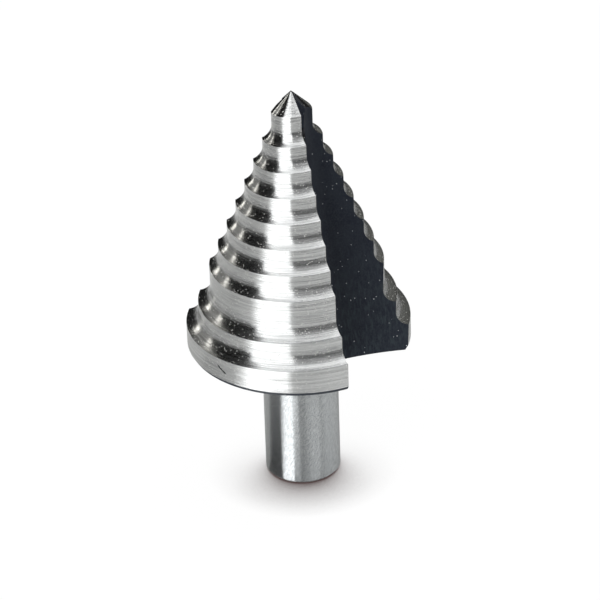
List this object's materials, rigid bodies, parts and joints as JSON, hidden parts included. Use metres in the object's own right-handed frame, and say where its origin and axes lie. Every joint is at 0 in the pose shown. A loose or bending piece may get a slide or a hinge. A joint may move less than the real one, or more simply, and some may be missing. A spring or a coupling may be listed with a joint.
{
  "type": "step drill",
  "caption": "Straight-fluted step drill with a cone of widening cylinders, hollow-ground shoulders and a plain round shank, for drilling and enlarging holes in sheet metal.",
  "frame": {"origin": "centre of the shank's flat end face, on which the drill stands", "axes": "+Z runs along the drill to its point; +X runs out along one cutting edge, and +Y is the way that edge moves when the drill cuts"},
  "size_m": [0.0286, 0.0282, 0.0537],
  "materials": {
    "ground_steel": "bright ground steel with fine rings round the axis"
  },
  "bodies": {
    "root": {"step_drill": "ground_steel"}
  },
  "joints": []
}
